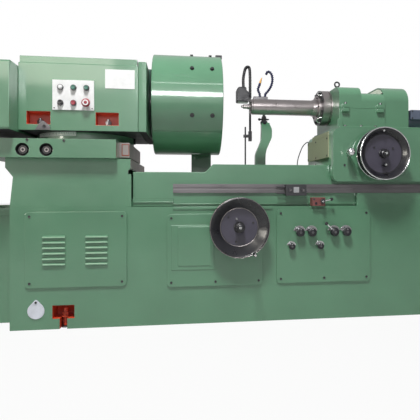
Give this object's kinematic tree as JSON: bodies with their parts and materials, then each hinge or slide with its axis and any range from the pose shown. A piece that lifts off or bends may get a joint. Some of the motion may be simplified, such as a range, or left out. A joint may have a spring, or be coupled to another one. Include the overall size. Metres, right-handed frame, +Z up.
{
  "type": "internal grinding machine",
  "caption": "Internal grinding machine: swivelling workhead with guarded chuck, sliding table carrying a wheelhead with a long quill, handwheels, valve knobs, coolant hoses and tank",
  "frame": {"origin": "middle of the bounding box's footprint, on the floor", "axes": "+X along the bed from the workhead to the wheelhead, +Y from the operator's side to the rear, +Z up"},
  "size_m": [2.97, 0.836, 1.5147],
  "materials": {
    "green_paint": "satin, lightly textured",
    "red_paint": "satin",
    "black_paint": "gloss",
    "blue_paint": "satin",
    "grey_plate": "matte",
    "white_plate": "satin",
    "steel": "ground",
    "dark_steel": "machined, oiled",
    "chrome": "polished",
    "black_plastic": "gloss",
    "red_plastic": "gloss",
    "green_plastic": "gloss",
    "hose_plastic": "satin",
    "belt_rubber": "matte"
  },
  "bodies": {
    "base": {"bed_casting": "green_paint", "workhead_bridge": "green_paint", "louvre_panel": "green_paint", "drive_panel": "green_paint", "hydraulic_panel": "green_paint", "coolant_tank": "green_paint", "start_valve": "red_paint", "guard_trough": "green_paint", "work_lamp": "black_paint", "coolant_bracket": "green_paint", "left_coolant_hose": "hose_plastic", "right_coolant_hose": "hose_plastic", "traverse_cylinder": "dark_steel"},
    "table": {"table_casting": "green_paint", "dog_rail": "steel", "piston_rod": "steel", "cross_feed_box": "green_paint"},
    "trip_dog": {"trip_dog": "dark_steel"},
    "push_pull_knob": {"push_pull_knob": "chrome"},
    "feed_handwheel": {"feed_handwheel": "black_paint"},
    "feed_handle": {"feed_handle": "black_plastic"},
    "traverse_handwheel": {"traverse_handwheel": "black_paint"},
    "wheelhead": {"wheelhead_housing": "green_paint", "wheelhead_cap": "green_paint", "quill": "steel", "spindle_bearing_front": "steel", "spindle_bearing_rear": "steel", "belt_cover": "green_paint", "wheelhead_motor": "blue_paint", "wheelhead_belt": "belt_rubber"},
    "grinding_spindle": {"grinding_spindle": "steel"},
    "wheelhead_pulley": {"wheelhead_motor_pulley": "steel"},
    "workhead_slide": {"workhead_cross_slide": "green_paint"},
    "workhead": {"workhead_housing": "green_paint", "workhead_end_box": "green_paint", "button_plate": "white_plate", "workhead_bearing_rear": "steel", "workhead_bearing_front": "steel", "workhead_motor": "dark_steel", "workhead_belt": "belt_rubber"},
    "green_button_left": {"green_button_left": "green_plastic"},
    "green_button_right": {"green_button_right": "green_plastic"},
    "black_button": {"black_button": "black_plastic"},
    "red_button": {"red_button": "red_plastic"},
    "stop_mushroom": {"stop_mushroom": "red_plastic"},
    "work_spindle": {"work_spindle": "steel", "chuck_body": "steel"},
    "jaw_1": {"chuck_jaw_1": "steel"},
    "jaw_2": {"chuck_jaw_2": "steel"},
    "jaw_3": {"chuck_jaw_3": "steel"},
    "workhead_pulley": {"workhead_motor_pulley": "steel"},
    "guard_cover": {"guard_cover": "green_paint"},
    "disc_cover": {"disc_cover": "grey_plate"},
    "pressure_knob": {"pressure_knob": "black_plastic"},
    "table_speed_knob": {"table_speed_knob": "black_plastic"},
    "reversing_lever": {"reversing_lever": "black_plastic"},
    "feed_speed_knob": {"feed_speed_knob": "black_plastic"},
    "left_throttle_knob": {"left_throttle_knob": "black_plastic"},
    "right_throttle_knob": {"right_throttle_knob": "black_plastic"},
    "start_lever": {"start_lever": "black_plastic"}
  },
  "joints": [
    {"name": "table_slide", "type": "slide", "parent": "base", "child": "table", "axis": [1, 0, 0], "range_m": [-0.3, 0.1]},
    {"name": "trip_dog_slide", "type": "slide", "parent": "table", "child": "trip_dog", "axis": [1, 0, 0], "range_m": [-0.2, 0.15]},
    {"name": "push_pull_knob_slide", "type": "slide", "parent": "table", "child": "push_pull_knob", "axis": [0, -1, 0], "range_m": [-0.012, 0.012]},
    {"name": "feed_handwheel_turn", "type": "hinge", "parent": "table", "child": "feed_handwheel", "pos_m": [0.721, -0.282, 0.881], "axis": [0, 1, 0], "range_deg": [-1450, 1810]},
    {"name": "feed_handle_spin", "type": "hinge", "parent": "feed_handwheel", "child": "feed_handle", "pos_m": [0.717, -0.282, 0.821], "axis": [0, 1, 0], "continuous": true},
    {"name": "traverse_handwheel_turn", "type": "hinge", "parent": "base", "child": "traverse_handwheel", "pos_m": [-0.037, -0.282, 0.499], "axis": [0, 1, 0], "range_deg": [-690, 232]},
    {"name": "wheelhead_slide", "type": "slide", "parent": "table", "child": "wheelhead", "axis": [0, 1, 0], "range_m": [-0.04, 0.05]},
    {"name": "grinding_spindle_turn", "type": "hinge", "parent": "wheelhead", "child": "grinding_spindle", "pos_m": [0.6, 0.048, 1.197], "axis": [1, 0, 0], "continuous": true},
    {"name": "wheelhead_pulley_turn", "type": "hinge", "parent": "wheelhead", "child": "wheelhead_pulley", "pos_m": [0.9, -0.047, 1.108], "axis": [1, 0, 0], "continuous": true},
    {"name": "workhead_cross_slide_move", "type": "slide", "parent": "base", "child": "workhead_slide", "axis": [0, 1, 0], "range_m": [-0.015, 0.015]},
    {"name": "workhead_swivel", "type": "hinge", "parent": "workhead_slide", "child": "workhead", "pos_m": [-0.865, 0.008, 0.97], "axis": [0, 0, 1], "range_deg": [-2, 2]},
    {"name": "green_button_left_press", "type": "slide", "parent": "workhead", "child": "green_button_left", "axis": [0, 1, 0], "range_m": [0, 0.004], "stiffness_N_per_m": 500, "springref_m": -0.002},
    {"name": "green_button_right_press", "type": "slide", "parent": "workhead", "child": "green_button_right", "axis": [0, 1, 0], "range_m": [0, 0.004], "stiffness_N_per_m": 500, "springref_m": -0.002},
    {"name": "black_button_press", "type": "slide", "parent": "workhead", "child": "black_button", "axis": [0, 1, 0], "range_m": [0, 0.004], "stiffness_N_per_m": 500, "springref_m": -0.002},
    {"name": "red_button_press", "type": "slide", "parent": "workhead", "child": "red_button", "axis": [0, 1, 0], "range_m": [0, 0.004], "stiffness_N_per_m": 500, "springref_m": -0.002},
    {"name": "stop_mushroom_press", "type": "slide", "parent": "workhead", "child": "stop_mushroom", "axis": [0, 1, 0], "range_m": [0, 0.004], "stiffness_N_per_m": 500, "springref_m": -0.002},
    {"name": "work_spindle_turn", "type": "hinge", "parent": "workhead", "child": "work_spindle", "pos_m": [-0.865, 0.048, 1.197], "axis": [1, 0, 0], "continuous": true},
    {"name": "jaw_1_slide", "type": "slide", "parent": "work_spindle", "child": "jaw_1", "axis": [0, 0, 1], "range_m": [-0.018, 0.008]},
    {"name": "jaw_2_slide", "type": "slide", "parent": "work_spindle", "child": "jaw_2", "axis": [0, -0.866, -0.5], "range_m": [-0.018, 0.008]},
    {"name": "jaw_3_slide", "type": "slide", "parent": "work_spindle", "child": "jaw_3", "axis": [0, 0.866, -0.5], "range_m": [-0.018, 0.008]},
    {"name": "workhead_pulley_turn", "type": "hinge", "parent": "workhead", "child": "workhead_pulley", "pos_m": [-1.2, -0.142, 1.192], "axis": [1, 0, 0], "continuous": true},
    {"name": "guard_cover_hinge", "type": "hinge", "parent": "base", "child": "guard_cover", "pos_m": [-0.3, 0.19533, 1.443], "axis": [-1, 0, 0], "range_deg": [0, 90]},
    {"name": "disc_cover_swing", "type": "hinge", "parent": "base", "child": "disc_cover", "pos_m": [-1.042, -0.282, 0.136], "axis": [0, 1, 0], "range_deg": [-80, 80]},
    {"name": "pressure_knob_turn", "type": "hinge", "parent": "base", "child": "pressure_knob", "pos_m": [0.29, -0.282, 0.467], "axis": [0, 1, 0], "range_deg": [0, 270]},
    {"name": "table_speed_knob_turn", "type": "hinge", "parent": "base", "child": "table_speed_knob", "pos_m": [0.355, -0.282, 0.467], "axis": [0, 1, 0], "range_deg": [0, 270]},
    {"name": "reversing_lever_turn", "type": "hinge", "parent": "base", "child": "reversing_lever", "pos_m": [0.479, -0.282, 0.467], "axis": [0, 1, 0], "range_deg": [0, 80]},
    {"name": "feed_speed_knob_turn", "type": "hinge", "parent": "base", "child": "feed_speed_knob", "pos_m": [0.546, -0.282, 0.467], "axis": [0, 1, 0], "range_deg": [0, 270]},
    {"name": "left_throttle_knob_turn", "type": "hinge", "parent": "base", "child": "left_throttle_knob", "pos_m": [0.246, -0.282, 0.393], "axis": [0, 1, 0], "range_deg": [0, 270]},
    {"name": "right_throttle_knob_turn", "type": "hinge", "parent": "base", "child": "right_throttle_knob", "pos_m": [0.402, -0.282, 0.393], "axis": [0, 1, 0], "range_deg": [0, 270]},
    {"name": "start_lever_turn", "type": "hinge", "parent": "base", "child": "start_lever", "pos_m": [0.41, -0.31, 0.63], "axis": [0, 1, 0], "range_deg": [-20, 20]}
  ],
  "couplings": [
    {"joint": "feed_handwheel_turn", "follows": "wheelhead_slide", "rad_per_m": 628.32},
    {"joint": "traverse_handwheel_turn", "follows": "table_slide", "rad_per_m": 40},
    {"joint": "wheelhead_pulley_turn", "follows": "grinding_spindle_turn", "ratio": 0.9375},
    {"joint": "workhead_pulley_turn", "follows": "work_spindle_turn", "ratio": 1.5455},
    {"joint": "jaw_2_slide", "follows": "jaw_1_slide", "ratio": 1},
    {"joint": "jaw_3_slide", "follows": "jaw_1_slide", "ratio": 1}
  ]
}
